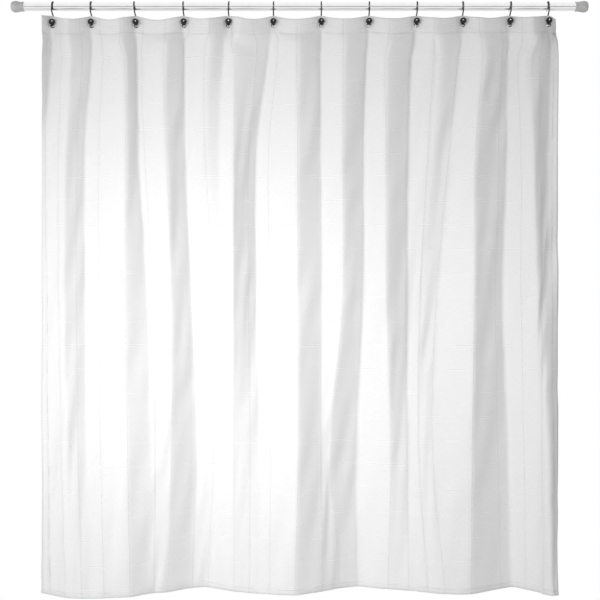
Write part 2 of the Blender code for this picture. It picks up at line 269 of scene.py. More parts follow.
@dataclass(frozen=True)
class WindowpaneCotton:
    """Plain-woven cotton with a windowpane check of raised cords, and stitched hems, with a painted highlight on the
    cords and painted shade in the line between each pair of cords and in the stitch grooves.
    """

    name: str
    colour: tuple[float, float, float] = (0.845, 0.845, 0.845)
    slub: tuple[float, float, float] = (0.79, 0.79, 0.79)
    # painted highlight: the colour of the raised cords, lighter than the cloth as if lit
    cord_painted_highlight: tuple[float, float, float] = (0.97, 0.97, 0.97)
    # painted shade: the colour of the lines between the cords, darker as if in their shadow
    line: tuple[float, float, float] = (0.60, 0.60, 0.60)
    # painted shade: the colour in the stitch grooves, darker as if in shadow
    seam_painted_shade: tuple[float, float, float] = (0.66, 0.66, 0.66)
    yarn_pitch: float = 0.0011
    weave_depth: float = 0.00012
    slub_depth: float = 0.00018
    cord_half: float = 0.0013
    cord_offset: float = 0.0024
    cord_height: float = 0.0005
    stitch_depth: float = 0.0002
    stitch_pitch: float = 0.0034
    stitch_half: float = 0.0007
    stitch_inset: float = 0.0025
    # how strongly the painted highlight on the cords and the painted shade in the lines between them tint the cloth
    cord_down_highlight: float = 0.25
    line_down_shade: float = 0.55
    line_across_shade: float = 0.50
    # how much of its height a cord across keeps where it doesn't show
    cord_across_least: float = 0.3
    # how strongly the painted shade in the stitch grooves darkens the cloth, where it shows least and most
    seam_shade_range: tuple[float, float] = (0.02, 0.80)

    def make(self, width: float, length: float, side: float, header: float, hem: float) -> bpy.types.Material:
        """Builds the material for a panel of that finished size.

        Args:
            width: The panel's finished width.
            length: Its finished length.
            side: The width of a side hem.
            header: The depth of the header hem.
            hem: The depth of the bottom hem.

        Returns:
            The material.
        """
        g = Graph(self.name)
        woven = self._uv(g, "cut")
        made = self._uv(g, "made")
        across, down = self._split(g, woven)
        yarn_across = g.noise(g.stretched(woven, (90, 900, 1)), 1.0, 2.0)
        yarn_down = g.noise(g.stretched(woven, (900, 90, 1)), 1.0, 2.0)
        cord_down, shade_down = self._cord(g, across, yarn_down)
        cord_across, shade_across = self._cord(g, down, yarn_across)
        runs = g.ramp(g.noise(g.stretched(woven, (15, 45, 1)), 1.0, 1.0), 0.48, 0.60)

        turns = 2 * math.pi / self.yarn_pitch
        warp = g.math("SINE", g.math("MULTIPLY", across, turns))
        weft = g.math("SINE", g.math("MULTIPLY", down, turns))
        weave = g.math("MULTIPLY", warp, weft)
        slubs = g.math("ADD", yarn_across, yarn_down)

        edge_x, edge_z = self._split(g, made)
        seams, dashes = self._seams(g, edge_x, edge_z, width, length, side, header, hem)

        tone = g.blend(g.ramp(slubs, 0.8, 1.35), self.colour, self.slub)
        # painted highlight along the raised cords, broken into dashes on the cords that run across
        highlight_down = g.math("MULTIPLY", cord_down, self.cord_down_highlight)
        painted_highlight = g.math("MAXIMUM", highlight_down, g.math("MULTIPLY", cord_across, runs))
        tone = g.blend(painted_highlight, tone, self.cord_painted_highlight)
        # painted shade in the lines between the cords, broken into dashes across
        shaded_across = g.math("MULTIPLY", g.math("MULTIPLY", shade_across, runs), self.line_across_shade)
        lines = g.math("MAXIMUM", g.math("MULTIPLY", shade_down, self.line_down_shade), shaded_across)
        tone = g.blend(lines, tone, self.line)
        # painted shade in the stitch grooves, shown in patches
        seam_shade_patches = g.ramp(g.noise(g.stretched(made, (14, 14, 1)), 1.0, 1.0), 0.48, 0.60, self.seam_shade_range)
        tone = g.blend(g.math("MULTIPLY", seams, seam_shade_patches), tone, self.seam_painted_shade)
        g.feed(g.shader.inputs["Base Color"], tone)
        g.shader.inputs["Roughness"].default_value = 0.9
        g.shader.inputs["Specular IOR Level"].default_value = 0.25
        g.shader.inputs["Sheen Weight"].default_value = 0.12
        g.shader.inputs["Sheen Roughness"].default_value = 0.5

        normal = g.relief(weave, self.weave_depth)
        normal = g.relief(slubs, self.slub_depth, normal)
        raised = g.math("MULTIPLY", cord_across, g.math("MAXIMUM", runs, self.cord_across_least))
        normal = g.relief(g.math("MAXIMUM", cord_down, raised), self.cord_height, normal)
        normal = g.relief(g.math("SUBTRACT", dashes, seams), self.stitch_depth, normal)
        g.feed(g.shader.inputs["Normal"], normal)
        return g.material

    def _uv(self, g: Graph, layer: str) -> bpy.types.NodeSocket:
        """A named flat-pattern layer of the sheet, in metres."""
        node = g.nodes.new("ShaderNodeUVMap")
        node.uv_map = layer
        return node.outputs[0]

    def _split(self, g: Graph, place: object) -> tuple[bpy.types.NodeSocket, bpy.types.NodeSocket]:
        """The across and down parts of a flat-pattern place."""
        node = g.nodes.new("ShaderNodeSeparateXYZ")
        g.feed(node.inputs[0], place)
        return node.outputs[0], node.outputs[1]

    def _cord(self, g: Graph, along: object, fray: object) -> tuple[bpy.types.NodeSocket, bpy.types.NodeSocket]:
        """A raised pair of cords at every cell, and the line between them, where shade is painted.

        Args:
            g: The graph.
            along: The coordinate that crosses the cords.
            fray: A noise that breaks the lines into dashes.

        Returns:
            The cords' height, which also sets their painted highlight, and how dark the painted shade in the line is.
        """
        away = g.math("PINGPONG", along, CELL / 2)
        off_cord = g.math("ABSOLUTE", g.math("SUBTRACT", away, self.cord_offset))
        ridge = g.ramp(off_cord, 0.0, self.cord_half, (1.0, 0.0))
        between = g.ramp(away, 0.2 * self.cord_half, 1.2 * self.cord_half, (1.0, 0.0))
        broken = g.ramp(fray, 0.42, 0.60, (0.35, 1.0))
        return ridge, g.math("MULTIPLY", between, broken)

    def _seams(
        self, g: Graph, x: object, z: object, width: float, length: float, side: float, header: float, hem: float
    ) -> tuple[bpy.types.NodeSocket, bpy.types.NodeSocket]:
        """The hems' stitch lines and the thread in them.

        Args:
            g: The graph.
            x: The coordinate across the flat panel.
            z: The coordinate down it.
            width: The panel's finished width.
            length: Its finished length.
            side: The width of a side hem.
            header: The depth of the header hem.
            hem: The depth of the bottom hem.

        Returns:
            Where the stitching draws the cloth in, which also sets the painted shade in the grooves, and where its
            thread shows.
        """
        pitch, half, inset = self.stitch_pitch, self.stitch_half, self.stitch_inset
        runs = (
            (g.math("ABSOLUTE", g.math("SUBTRACT", z, header - inset)), x),
            (g.math("ABSOLUTE", g.math("SUBTRACT", z, length - hem + inset)), x),
            (g.math("ABSOLUTE", g.math("SUBTRACT", x, side - inset)), z),
            (g.math("ABSOLUTE", g.math("SUBTRACT", x, width - side + inset)), z),
        )
        seams = dashes = None
        for away, along in runs:
            groove = g.ramp(away, half * 0.6, half * 2.4, (1.0, 0.0))
            stitch = g.ramp(g.math("PINGPONG", along, pitch / 2), pitch * 0.1, pitch * 0.2)
            thread = g.math("MULTIPLY", g.ramp(away, 0.0, half, (1.0, 0.0)), stitch)
            seams = groove if seams is None else g.math("MAXIMUM", seams, groove)
            dashes = thread if dashes is None else g.math("MAXIMUM", dashes, thread)
        bare = g.math("SUBTRACT", 1.0, g.math("MULTIPLY", dashes, 0.8))
        return g.math("MULTIPLY", seams, bare), dashes


CHROME = Metal("rod_chrome", (0.95, 0.95, 0.95), (0.92, 0.92, 0.925), (0.17, 0.23), (4.0, 60.0, 60.0))
BLACK_NICKEL = Metal("hook_black_nickel", (0.050, 0.048, 0.047), (0.032, 0.031, 0.030), (0.10, 0.18), ripple=0.00002)
EYELET_NICKEL = Metal("eyelet_nickel", (0.060, 0.058, 0.057), (0.040, 0.039, 0.038), (0.20, 0.32))
SPRING_STEEL = Metal("drawn_spring_wire", (0.46, 0.47, 0.49), (0.36, 0.37, 0.39), (0.28, 0.42), (60.0, 20.0, 20.0))
FOOT_VINYL = Moulding("foot_grey_vinyl", (0.57, 0.57, 0.56), (0.48, 0.48, 0.47), (0.24, 0.34), 0.00002, 0.2)
WHITE_NYLON = Moulding("plug_white_nylon", (0.84, 0.84, 0.82), (0.78, 0.78, 0.76), (0.42, 0.52), 0.00002)
COTTON = WindowpaneCotton("white_windowpane_cotton")


# Mesh helpers -----------------------------------------------------------------------------------
def new_piece(name: str, points: list, faces: list, material: bpy.types.Material) -> bpy.types.Object:
    """Makes a smooth-shaded mesh object.

    Args:
        name: The piece's name.
        points: Its points.
        faces: Its faces, as point numbers.
        material: Its finish.

    Returns:
        The object, linked to the scene.
    """
    mesh = bpy.data.meshes.new(name)
    mesh.from_pydata([tuple(map(float, p)) for p in points], [], faces)
    mesh.validate()
    mesh.shade_smooth()
    mesh.materials.append(material)
    piece = bpy.data.objects.new(name, mesh)
    bpy.context.collection.objects.link(piece)
    return piece


def turned(profile: list[tuple[float, float]], sides: int, closed: bool) -> tuple[list, list]:
    """A solid of revolution about X.

    Args:
        profile: (x, radius) points, on the axis at both ends unless closed.
        sides: How many facets go round.
        closed: Whether the profile joins up into a ring's wall.

    Returns:
        Points and faces.
    """
    points, rings = [], []
    for x, radius in profile:
        count = 1 if radius == 0 else sides
        rings.append(range(len(points), len(points) + count))
        for k in range(count):
            turn = 2 * math.pi * k / sides
            points.append((x, radius * math.cos(turn), radius * math.sin(turn)))
    faces = []
    pairs = list(zip(rings, rings[1:])) + ([(rings[-1], rings[0])] if closed else [])
    for here, there in pairs:
        for k in range(sides):
            on = k + 1
            ring = here[k % len(here)], here[on % len(here)], there[on % len(there)], there[k % len(there)]
            faces.append(list(dict.fromkeys(ring)))
    return points, faces


def swept(path: np.ndarray, radii: np.ndarray, sides: int) -> tuple[list, list]:
    """A round bar along a path with domed ends, whose rings are carried on without twist.

    Args:
        path: The points of its centreline.
        radii: Its radius at each point.
        sides: How many facets go round.

    Returns:
        Points and faces.
    """
    line = [Vector(p) for p in path]
    last = len(line) - 1
    tangents = [(line[min(i + 1, last)] - line[max(i - 1, 0)]).normalized() for i in range(last + 1)]
    side = tangents[0].orthogonal().normalized()
    points, faces = [], []
    for i, (centre, tangent) in enumerate(zip(line, tangents)):
        if i:
            side = tangents[i - 1].rotation_difference(tangent) @ side
        other = tangent.cross(side)
        for k in range(sides):
            turn = 2 * math.pi * k / sides
            points.append(centre + float(radii[i]) * (math.cos(turn) * side + math.sin(turn) * other))
    for i in range(last):
        for k in range(sides):
            step = (k + 1) % sides
            faces.append((i * sides + k, i * sides + step, (i + 1) * sides + step, (i + 1) * sides + k))
    ends = float(radii[0]) * 0.5, float(radii[-1]) * 0.5
    points += [line[0] - tangents[0] * ends[0], line[-1] + tangents[-1] * ends[1]]
    for k in range(sides):
        step = (k + 1) % sides
        faces.append((len(points) - 2, step, k))
        faces.append((len(points) - 1, last * sides + k, last * sides + step))
    return points, faces


def rounded(profile: list[tuple[float, float]], radius: float, steps: int = 4) -> list[tuple[float, float]]:
    """Rounds the inner corners of an open profile.

    Args:
        profile: Its points.
        radius: How far from a corner the rounding starts, where the sides are long enough.
        steps: How many pieces each rounding has.

    Returns:
        The rounded profile.
    """
    corners = [np.array(p, float) for p in profile]
    out = [profile[0]]
    for before, corner, after in zip(corners, corners[1:], corners[2:]):
        back, on = before - corner, after - corner
        reach = min(radius, 0.45 * np.linalg.norm(back), 0.45 * np.linalg.norm(on))
        start = corner + back / np.linalg.norm(back) * reach
        end = corner + on / np.linalg.norm(on) * reach
        for k in range(steps + 1):
            t = k / steps
            out.append(tuple((1 - t) ** 2 * start + 2 * t * (1 - t) * corner + t * t * end))
    return out + [profile[-1]]


# Rod --------------------------------------------------------------------------------------------
@dataclass
class TensionRod:
    """The rod's tubes, its vinyl feet, and the spring and mouldings inside."""

    tube_radius: float = 0.0127
    tube_bore: float = 0.0118
    # (from the wall, radius), outside and inside
    foot_outline: tuple[tuple[float, float], ...] = (
        (0.0, 0.0), (0.0, 0.0126), (0.0012, 0.0140), (0.0060, 0.0170), (0.0130, 0.0183), (0.0200, 0.0172),
        (0.0270, 0.0153), (0.0330, 0.0150), (0.0355, 0.0150), (0.0362, 0.0154), (0.0389, 0.0154), (0.0394, 0.0149),
    )
    foot_socket: tuple[tuple[float, float], ...] = (
        (0.0394, 0.0130), (0.0194, 0.0130), (0.0194, 0.0098), (0.0074, 0.0098), (0.0074, 0.0),
    )
    spring_turns: int = 9
    spring_wire: float = 0.0009
    spring_radius: float = 0.0093
    spring_travel: float = 0.015
    sides: int = 96

    def build(self) -> None:
        """Builds the rod and dresses the pieces inside it."""
        self.tube()
        self.feet()
        self.spring()
        self.dress_inside()

    def tube(self) -> None:
        """The outer tube: a drawn tube with its cut ends rounded over."""
        low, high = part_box("outer_tube")
        lip = (self.tube_radius - self.tube_bore) * 0.4
        wall = [
            (low.x, self.tube_bore + lip), (low.x + lip, self.tube_radius),
            (high.x - lip, self.tube_radius), (high.x, self.tube_bore + lip),
            (high.x - lip, self.tube_bore), (low.x + lip, self.tube_bore),
        ]
        points, faces = turned(wall, self.sides, closed=True)
        tube = new_piece("rod_outer_tube", points, faces, CHROME.make())
        tube.data.set_sharp_from_angle(angle=math.radians(35))
        self.place(tube, "rod", "outer_tube", "polished_steel")

    def feet(self) -> None:
        """The two soft feet, bulbous where they bear on the wall, with a rolled mouth."""
        outline = rounded(list(self.foot_outline), 0.003)
        profile = outline + list(self.foot_socket)
        points, faces = turned(profile, self.sides, closed=False)
        vinyl = FOOT_VINYL.make()
        ends = (("rod", "wall_foot_left", False), ("rod_end", "wall_foot_right", True))
        for body, node, turned_round in ends:
            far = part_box(node)[1].x
            placed = [(far - x, -y, z) if turned_round else (x, y, z) for x, y, z in points]
            foot = new_piece(f"vinyl_{node}", placed, faces, vinyl)
            foot.data.set_sharp_from_angle(angle=math.radians(50))
            self.place(foot, body, node, "grey_rubber")

    def spring(self) -> None:
        """The compression spring, which in the real rod shortens as the right foot is pushed in; it is built here at
        one length.
        """
        low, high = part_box("tension_spring")
        steps_per_turn = 28
        steps = self.spring_turns * steps_per_turn
        wire = self.spring_wire
        share = np.linspace(0, 1, steps + 1)
        turn = 2 * math.pi * self.spring_turns * share
        along = low.x + wire + (high.x - low.x - 2 * wire) * share
        line = np.stack([along, self.spring_radius * np.cos(turn), self.spring_radius * np.sin(turn)], 1)
        points, faces = swept(line, np.full(steps + 1, wire), 10)
        spring = new_piece("coil_spring", points, faces, SPRING_STEEL.make())
        self.place(spring, "rod", "tension_spring", "spring_steel")
        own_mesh(spring)

    def dress_inside(self) -> None:
        """Gives the pieces inside the rod their finishes."""
        nylon, steel = WHITE_NYLON.make(), CHROME.make()
        for node in ("end_plug_left", "guide_bush", "spring_stop", "spring_follower"):
            frame["nodes"][node].data.materials[0] = nylon
        frame["nodes"]["inner_tube"].data.materials[0] = steel

    def place(self, piece: bpy.types.Object, body: str, node: str, slot: str) -> None:
        """Sets a piece to ride on its body in place of its plain solid.

        Args:
            piece: The piece.
            body: The body that it rides on.
            node: The plain solid that it stands for.
            slot: That solid's material slot; not used.
        """
        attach(piece, body)
        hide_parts(node)
        LOG.info("%s: %d faces, rides on %s", piece.name, len(piece.data.polygons), body)


# Hooks ------------------------------------------------------------------------------------------
@dataclass
class BallHooks:
    """The twelve bent-wire hooks, each with its brazed ball and its set eyelet.

    A hook is drawn upright in the YZ plane with the rod's axis at the origin. The wire starts at the
    back of the rod, curls over it, crosses under it, runs down its stem behind the cloth, and turns up
    through the eyelet into the ball.
    """

    wire: float = 0.0021
    curl_radius: float = 0.0193
    curl_centre: float = -0.0042
    curl: tuple[float, float] = (math.radians(-8), math.radians(243))
    crossing: float = 0.0106
    neck_radius: float = 0.0060
    stem_end: float = -0.0534
    loop_radius: float = 0.0078
    loop_end: float = math.radians(165)
    ball_radius: float = 0.0099
    ball_centre: tuple[float, float] = (-0.0119, -0.0494)
    # the line on which the wire enters the ball
    ball_axis: tuple[float, float, float] = (0.0, 0.656, -0.755)
    # the brazing metal round the wire there: how far it reaches, and how much wider it is
    braze_reach: float = 0.0011
    braze_swell: float = 0.32
    braze_points: int = 20
    # how much of its radius the wire keeps at its first two points, where its end is dressed
    dressed_end: tuple[float, float] = (0.72, 0.94)
    eyelet_z: float = -0.0601
    eyelet_hole: float = 0.0036
    eyelet_barrel: float = 0.0041
    eyelet_flange: float = 0.0072
    eyelet_grip: float = 0.0007
    eyelet_lip: float = 0.0007
    # how far each hook leans along the rod, for each metre of its height
    tilts: tuple[float, ...] = (0.03, -0.01, -0.08, -0.03, 0.02, 0.01, 0.0, 0.02, 0.04, 0.01, 0.06, -0.02)

    def build(self) -> None:
        """Builds all twelve sets."""
        nickel, satin_nickel = BLACK_NICKEL.make(), EYELET_NICKEL.make()
        shapes = (
            ("s_hook", "hook_wire", "black_nickel", nickel, self.wire_shape()),
            ("end_ball", "hook_ball", "black_nickel", nickel, self.ball_shape()),
            ("set_eyelet", "eyelet", "eyelet_nickel", satin_nickel, self.eyelet_shape()),
        )
        for number, (body, x, tilt) in enumerate(zip(HOOK_BODIES, HOOKS, self.tilts), 1):
            lean = lean_at(x)
            for kind, node, slot, finish, (points, faces) in shapes:
                hung = points if kind == "set_eyelet" else self.askew(points, tilt)
                piece = new_piece(f"{kind}_{number:02d}", self.tipped(hung, x, lean), faces, finish)
                piece.data.set_sharp_from_angle(angle=math.radians(60))
                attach(piece, body)
                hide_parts(f"{node}_{number:02d}")
        LOG.info("%d hooks with their balls and eyelets", len(HOOKS))

    def askew(self, points: list, tilt: float) -> list:
        """Leans a hook along the rod, about its eyelet.

        Args:
            points: The hook's points.
            tilt: How far it leans.

        Returns:
            The leaning points.
        """
        return [(p[0] + tilt * (p[2] - self.eyelet_z), p[1], p[2]) for p in points]

    def tipped(self, points: list, x: float, lean: float) -> list:
        """Moves a hook to its place and tips it about the rod's axis.

        Args:
            points: The hook's points.
            x: Its place along the rod.
            lean: How far it tips, in radians.

        Returns:
            The moved points.
        """
        c, s = math.cos(lean), math.sin(lean)
        return [(p[0] + x, p[1] * c - p[2] * s, p[1] * s + p[2] * c) for p in points]

    def arc(self, centre: tuple[float, float], radius: float, start: float, end: float, steps: int) -> list:
        """Points on an arc in the hook's plane.

        Args:
            centre: The arc's centre (y, z).
            radius: Its radius.
            start: The angle that it starts at.
            end: The angle that it ends at.
            steps: How many pieces it has.

        Returns:
            The points, from start to end.
        """
        y, z = centre
        return [(0.0, y + radius * math.cos(a), z + radius * math.sin(a)) for a in np.linspace(start, end, steps + 1)]

    def wire_shape(self) -> tuple[list, list]:
        """The bent wire, from its curl over the rod to its end inside the ball."""
        path = self.arc((0.0, self.curl_centre), self.curl_radius, *self.curl, 64)
        heading = self.curl[1] - 1.5 * math.pi
        ahead = np.array([0.0, math.cos(heading), math.sin(heading)])
        start = np.array(path[-1])
        path += [tuple(start + ahead * self.crossing * share) for share in (0.33, 0.66, 1.0)]
        y, z = path[-1][1:]
        neck = (y + self.neck_radius * math.sin(heading), z - self.neck_radius * math.cos(heading))
        path += self.arc(neck, self.neck_radius, heading + math.pi / 2, 0.0, 12)[1:]
        stem = np.array(path[-1])
        path += [(0.0, stem[1], stem[2] + (self.stem_end - stem[2]) * share) for share in (0.25, 0.5, 0.75)]
        path += self.arc((stem[1] - self.loop_radius, self.stem_end), self.loop_radius, 0.0, -self.loop_end, 32)
        line = np.array(path)
        deep = np.linalg.norm(line[:, 1:] - np.array(self.ball_centre), axis=1) - self.ball_radius
        near_ball = np.arange(len(line)) > len(line) - self.braze_points
        braze = np.exp(-((deep / self.braze_reach) ** 2)) * near_ball
        radii = self.wire * (1 + self.braze_swell * braze)
        radii[:2] *= self.dressed_end
        return swept(line, radii, 20)

    def ball_shape(self) -> tuple[list, list]:
        """The ball, turned about the line on which the wire enters it."""
        turns = np.linspace(math.pi, 0.0, 33)
        profile = [(self.ball_radius * math.cos(a), self.ball_radius * math.sin(a)) for a in turns]
        profile[0], profile[-1] = (-self.ball_radius, 0.0), (self.ball_radius, 0.0)
        points, faces = turned(profile, 48, closed=False)
        turn = Vector((1, 0, 0)).rotation_difference(Vector(self.ball_axis))
        return [turn @ Vector(p) + Vector((0, *self.ball_centre)) for p in points], faces

    def eyelet_shape(self) -> tuple[list, list]:
        """The set eyelet: a rolled flange in front, the barrel, and a flatter washer behind."""
        grip, top = self.eyelet_grip, self.eyelet_grip + self.eyelet_lip
        flange, hole, barrel = self.eyelet_flange, self.eyelet_hole, self.eyelet_barrel
        wall = [
            (-grip, barrel), (-grip, flange), (-grip - 0.3 * self.eyelet_lip, flange),
            (-top + 0.0001, flange - 0.0008), (-top, 0.5 * (flange + hole)), (-top + 0.00015, hole + 0.0006),
            (-grip, hole + 0.0001), (0.0, hole), (grip, hole + 0.0001),
            (top - 0.0002, hole + 0.0005), (top, hole + 0.0012), (top, flange - 0.0009),
            (grip + 0.0002, flange), (grip, flange), (grip, barrel),
        ]
        points, faces = turned(wall, 48, closed=True)
        return [(-y, x, z + self.eyelet_z) for x, y, z in points], faces


# Panel ------------------------------------------------------------------------------------------
class Crease(Enum):
    """How tightly the cloth turns over a fold line: the half width of the turn."""

    KNIFE = 0.0012
    CRISP = 0.0035
    SOFT = 0.0220


@dataclass(frozen=True)
class FoldLine:
    """One fold line: where it lies in the flat cloth, and where it hangs, all in millimetres.

    hang holds (along the rod, towards the bath) at each of the drops in Panel.drops, below the header.
    """

    cut: float
    crease: Crease
    hang: tuple[tuple[int, int], ...]


FOLDS = (
    FoldLine(0, Crease.CRISP, ((104, -26), (101, -20), (96, 1), (95, 5), (98, -7), (99, -9))),
    FoldLine(27, Crease.CRISP, ((118, 8), (119, 14), (112, 0), (124, -9), (135, -26), (152, -49))),
    FoldLine(105, Crease.CRISP, ((182, -36), (186, -29), (176, -27), (172, -25), (188, -52), (203, -74))),
    FoldLine(188, Crease.CRISP, ((254, 7), (251, 12), (230, 14), (231, 16), (243, -32), (266, -78))),
    FoldLine(304.8, Crease.CRISP, ((349, -37), (363, -35), (368, -38), (367, -43), (376, -47), (387, -62))),
    FoldLine(360, Crease.CRISP, ((394, 4), (393, 7), (402, -3), (432, -3), (442, -15), (442, -18))),
    FoldLine(457.2, Crease.CRISP, ((489, -36), (485, -34), (495, -34), (513, -28), (512, -19), (497, -6))),
    FoldLine(533.4, Crease.CRISP, ((546, 5), (546, 9), (548, 12), (567, 21), (579, 37), (568, 48))),
    FoldLine(609.6, Crease.SOFT, ((620, -28), (613, -24), (615, -15), (640, -10), (640, 27), (619, 57))),
    FoldLine(648, Crease.SOFT, ((675, 2), (671, 4), (656, -9), (675, -24), (674, 10), (663, 28))),
    FoldLine(685.8, Crease.KNIFE, ((700, -22), (708, -29), (707, -37), (708, -35), (706, -19), (706, 4))),
    FoldLine(805, Crease.CRISP, ((820, 6), (814, 11), (777, 19), (776, 24), (786, -11), (783, -23))),
    FoldLine(914.4, Crease.CRISP, ((906, -37), (906, -37), (908, -41), (909, -45), (911, -51), (900, -44))),
    FoldLine(991.7, Crease.CRISP, ((981, 3), (979, 4), (981, -1), (984, -5), (982, -3), (989, 5))),
    FoldLine(1066.8, Crease.CRISP, ((1052, -34), (1051, -34), (1051, -34), (1051, -29), (1014, -1), (1044, 43))),
    FoldLine(1151, Crease.CRISP, ((1131, 5), (1126, 7), (1121, 12), (1118, 11), (1100, 54), (1103, 65))),
    FoldLine(1219.2, Crease.CRISP, ((1193, -33), (1183, -32), (1187, -27), (1190, -24), (1205, 4), (1198, 30))),
    FoldLine(1307, Crease.CRISP, ((1281, 6), (1272, 9), (1263, 14), (1261, 21), (1264, 19), (1272, 11))),
    FoldLine(1381, Crease.SOFT, ((1343, -30), (1347, -26), (1330, -11), (1304, 11), (1296, -8), (1327, -12))),
    FoldLine(1450, Crease.SOFT, ((1427, 3), (1418, 4), (1393, 6), (1353, 18), (1336, -13), (1375, -30))),
    FoldLine(1524, Crease.CRISP, ((1486, -37), (1490, -37), (1468, -39), (1466, -34), (1459, -35), (1457, -29))),
    FoldLine(1630.6, Crease.CRISP, ((1579, 6), (1575, 9), (1577, 19), (1566, 32), (1588, 59), (1602, 62))),
    FoldLine(1715, Crease.CRISP, ((1648, -40), (1632, -37), (1648, -32), (1663, -23), (1666, -11), (1668, -2))),
    FoldLine(1798, Crease.SOFT, ((1706, -3), (1709, -1), (1701, 4), (1698, -7), (1696, -44), (1703, -53))),
    FoldLine(1829, Crease.CRISP, ((1734, 4), (1736, -4), (1735, 1), (1737, 8), (1734, -3), (1726, -34))),
)


class Ply(Enum):
    """Which turn of the cloth a row or column of the sheet belongs to."""

    TURNED_FIRST = -1
    FACE = 0
    TURNED_LAST = 1


@dataclass(frozen=True)
class GridLine:
    """One row or column of the sheet's points: its number in the finished panel, and its ply."""

    index: int
    ply: Ply


@dataclass
class Panel:
    """The sewn cloth panel: one sheet, gathered on its hooks, with all four hems turned back."""

    width: float = 1.829
    length: float = 1.829
    ply: float = 0.0007
    side_hem: float = 0.01905
    header: float = 0.055
    bottom_hem: float = 0.018
    # the eyelets, in the flat cloth
    eyelet_first: float = 0.0381
    eyelet_pitch: float = 0.1593
    eyelet_drop: float = 0.0311
    eyelet_hole: float = 0.0043
    eyelet_cuts: tuple[float, ...] = field(init=False)
    # round an eyelet: out to the first distance nothing changes, and over the second it comes in
    flattened: tuple[float, float] = (0.0065, 0.010)
    clamped: tuple[float, float] = (0.008, 0.010)
    undragged: tuple[float, float] = (0.012, 0.020)
    # how far from a side hem the header lies down to its own two plies
    hem_step: float = 0.012
    # the top edge: its height, how far it dips between hooks, and how far down the dip is felt
    top: float = -0.029
    left_sag: float = 0.018
    right_sag: float = 0.0135
    sag_reach: float = 0.150
    sag_fullness: float = 1.15
    lean_reach: float = 0.085
    # the header's line: where each bay's ridge lies, and how the two ends run on past the last hooks
    ridge_shares: tuple[float, ...] = (0.42, 0.67, 0.63, 0.56, 0.22, 0.50, 0.458, 0.414, 0.38, 0.34, 0.52)
    ends: tuple[float, float] = (0.1005, 1.7305)
    end_droops: tuple[float, float] = (0.004, 0.006)
    droop_reach: float = 0.03
    end_slopes: tuple[float, float] = (-1.0, 1.05)
    deepest_bow: float = 0.040
    valley_half: float = 0.0032
    ridge_bluntness: float = 0.0035
    # the drops that the folds are set out at, and how softly the cloth turns at each
    drops: tuple[float, ...] = (0.040, 0.085, 0.139, 0.425, 0.901, 1.377, 1.827)
    ease_scale: tuple[float, ...] = (1.0, 1.0, 1.3, 1.5, 1.5, 2.6, 4.5)
    bellies: tuple[float, ...] = (0.005, 0.008, 0.007, 0.003, 0.0015, 0.0, 0.0)
    ridge_ease: tuple[float, ...] = (1.0, 3.5, 2.6, 1.6, 1.3, 1.0, 1.0)
    turn_limit: float = 0.46
    crowding: float = 0.09
    # the cloth's small movement
    seed: int = 7
    puff: float = 0.0007
    soft_creases: int = 26
    soft_height: float = 0.0009
    drag_height: float = 0.0016
    drag_reach: float = 0.045
    # the grid of points
    segment_samples: int = 16
    columns_per_cell: int = 16
    header_rows: int = 11
    band_step: float = 0.0075
    body_start: float = 0.1429
    row_step: float = 0.009525
    eyelet_ring: float = 0.0038
    line_clearance: float = 0.0022
    # how much of its spread width is left when it is drawn
    keep: float = 0.25

    def __post_init__(self) -> None:
        """Works out where the eyelets are set in the flat cloth."""
        self.eyelet_cuts = tuple(self.eyelet_first + self.eyelet_pitch * i for i in range(len(HOOKS)))

    def build(self) -> None:
        across = self.columns()
        down = self.rows()
        surface = self.hang(across, down)
        sheet = self.sew(surface, across, down)
        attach(sheet, HOOK_BODIES[0])
        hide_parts(*(f"cloth_{number:02d}" for number in range(1, len(HOOKS) + 1)))
        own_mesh(sheet)

    # The grid ---------------------------------------------------------------------------------
    def spaced(self, even: np.ndarray, eyelets: tuple[float, ...], fixed: tuple[float, float]) -> np.ndarray:
        """Adds three lines through each eyelet to an even spacing, and drops those that crowd them.

        Args:
            even: The even spacing.
            eyelets: Where the eyelets' centres are.
            fixed: The places that are kept even beside an eyelet.

        Returns:
            The places of all the lines, in order.
        """
        set_at = [centre + step for centre in eyelets for step in (-self.eyelet_ring, 0.0, self.eyelet_ring)]
        free = [
            place
            for place in even
            if all(abs(place - line) > self.line_clearance for line in set_at)
            or np.any(np.abs(np.array(fixed) - place) < 1e-6)
        ]
        return np.unique(np.round(np.array(free + set_at), 7))

    def columns(self) -> np.ndarray:
        """Where the sheet's columns of points lie across the flat cloth."""
        cells = round(self.width / CELL)
        even = np.linspace(0.0, self.width, cells * self.columns_per_cell + 1)
        return self.spaced(even, self.eyelet_cuts, (0.0, self.width))

    def rows(self) -> np.ndarray:
        """Where the sheet's rows of points lie down the flat cloth."""
        fine = np.linspace(0.0, self.header, self.header_rows)
        band = np.arange(self.header + self.band_step, self.body_start - self.band_step, self.band_step)
        body_rows = int(round((self.length - self.body_start) / self.row_step)) + 1
        body = np.linspace(self.body_start, self.length, body_rows)
        return self.spaced(np.concatenate([fine, band, body]), (self.eyelet_drop,), (0.0, self.header))

    # The hang ---------------------------------------------------------------------------------
    def share_of_bay(self, x: np.ndarray) -> np.ndarray:
        """How far x is across the bay between its two hooks, from 0 to 1."""
        hooks = np.array(HOOKS)
        bay = np.clip(np.searchsorted(hooks, x, side="right") - 1, 0, len(hooks) - 2)
        return np.clip((x - hooks[bay]) / (hooks[bay + 1] - hooks[bay]), 0.0, 1.0)

